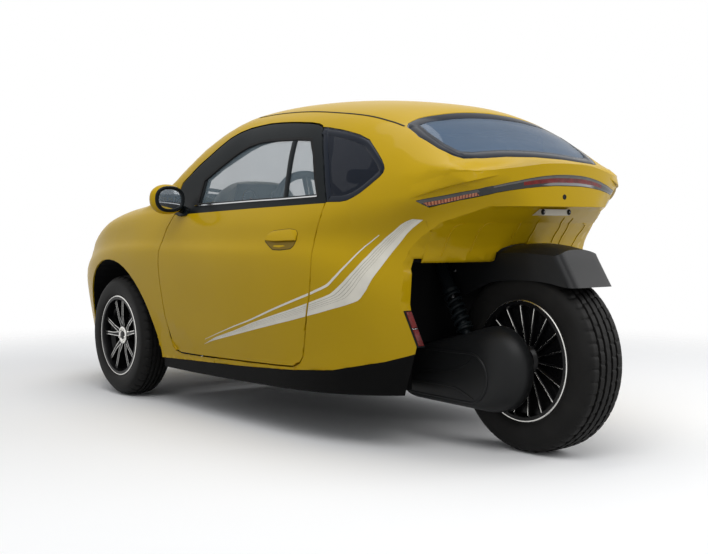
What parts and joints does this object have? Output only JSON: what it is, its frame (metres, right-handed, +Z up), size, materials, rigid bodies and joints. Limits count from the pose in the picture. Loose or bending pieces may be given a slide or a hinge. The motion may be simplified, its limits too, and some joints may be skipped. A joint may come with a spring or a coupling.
{
  "type": "electric reverse trike",
  "caption": "Closed two-seat electric trike with steered front wheels, one driven rear wheel, hinged doors and a fastback tail.",
  "frame": {"origin": "on the ground under the middle of the overall length and width", "axes": "+X forward, +Y to the left, +Z up"},
  "size_m": [2.9979, 1.4934, 1.2384],
  "materials": {
    "paint": "gloss mustard paint",
    "black_plastic": "grained black",
    "black_metal": "satin black",
    "glass": "tinted",
    "lamp_clear": "clear",
    "lamp_red": "clear red over dark",
    "plate": "pale",
    "steel": "plain",
    "alloy": "machined edges on black",
    "tyre": "road tyre",
    "dash": "fine grain",
    "ring": "stitched grip",
    "seat": "woven",
    "battery": "plain case"
  },
  "bodies": {
    "body": {"floor_pan": "black_plastic", "wheel_linings": "black_plastic", "side_left": "paint", "side_right": "paint", "roof_panel": "paint", "tail_panel": "paint", "wing_left": "paint", "wing_right": "paint", "bonnet": "paint", "front_bumper": "paint", "grilles": "black_plastic", "headlamps": "lamp_clear", "windscreen": "glass", "rear_glass": "glass", "quarter_glass": "glass", "tail_lamps": "lamp_red", "plate_bracket": "plate", "hinge_posts": "black_metal", "dashboard": "dash", "seats": "seat", "battery_pack": "battery", "front_subframe": "black_metal", "drive_unit": "black_metal", "rear_shocks": "black_metal", "rear_guard": "black_plastic"},
    "front_wheel_left": {"front_rim_left": "alloy", "front_tyre_left": "tyre"},
    "front_wheel_right": {"front_rim_right": "alloy", "front_tyre_right": "tyre"},
    "rear_wheel": {"rear_rim": "alloy", "rear_tyre": "tyre"},
    "upright_left": {"knuckle_left": "steel"},
    "upright_right": {"knuckle_right": "steel"},
    "door_left": {"door_left": "paint", "door_frame_left": "black_plastic", "door_glass_left": "glass", "mirror_left": "paint", "hinge_pins_left": "steel"},
    "door_right": {"door_right": "paint", "door_frame_right": "black_plastic", "door_glass_right": "glass", "mirror_right": "paint", "hinge_pins_right": "steel"},
    "steering_wheel": {"steering_wheel": "ring"},
    "tie_rods": {"tie_rods": "steel"}
  },
  "joints": [
    {"name": "steer_left", "type": "hinge", "parent": "body", "child": "upright_left", "pos_m": [0.804, 0.405, 0.267], "axis": [0, 0, 1], "range_deg": [-28, 28]},
    {"name": "steer_right", "type": "hinge", "parent": "body", "child": "upright_right", "pos_m": [0.804, -0.405, 0.267], "axis": [0, 0, 1], "range_deg": [-28, 28]},
    {"name": "spin_front_left", "type": "hinge", "parent": "upright_left", "child": "front_wheel_left", "pos_m": [0.804, 0.517, 0.267], "axis": [0, 1, 0], "continuous": true},
    {"name": "spin_front_right", "type": "hinge", "parent": "upright_right", "child": "front_wheel_right", "pos_m": [0.804, -0.517, 0.267], "axis": [0, 1, 0], "continuous": true},
    {"name": "spin_rear", "type": "hinge", "parent": "body", "child": "rear_wheel", "pos_m": [-1.191, 0, 0.308], "axis": [0, 1, 0], "continuous": true},
    {"name": "steering_wheel_turn", "type": "hinge", "parent": "body", "child": "steering_wheel", "pos_m": [-0.251, 0.256, 0.796], "axis": [0.9397, 0, -0.342], "range_deg": [-392, 392]},
    {"name": "tie_rod_slide", "type": "slide", "parent": "body", "child": "tie_rods", "axis": [0, 1, 0], "range_m": [-0.06, 0.06]},
    {"name": "door_left_swing", "type": "hinge", "parent": "body", "child": "door_left", "pos_m": [0.239, 0.607, 0.555], "axis": [0, 0, -1], "range_deg": [0, 60]},
    {"name": "door_right_swing", "type": "hinge", "parent": "body", "child": "door_right", "pos_m": [0.239, -0.607, 0.555], "axis": [0, 0, 1], "range_deg": [0, 60]}
  ],
  "couplings": [
    {"joint": "steer_right", "follows": "steer_left", "ratio": 1},
    {"joint": "steering_wheel_turn", "follows": "steer_left", "ratio": -14},
    {"joint": "tie_rod_slide", "follows": "steer_left", "m_per_rad": -0.112}
  ]
}
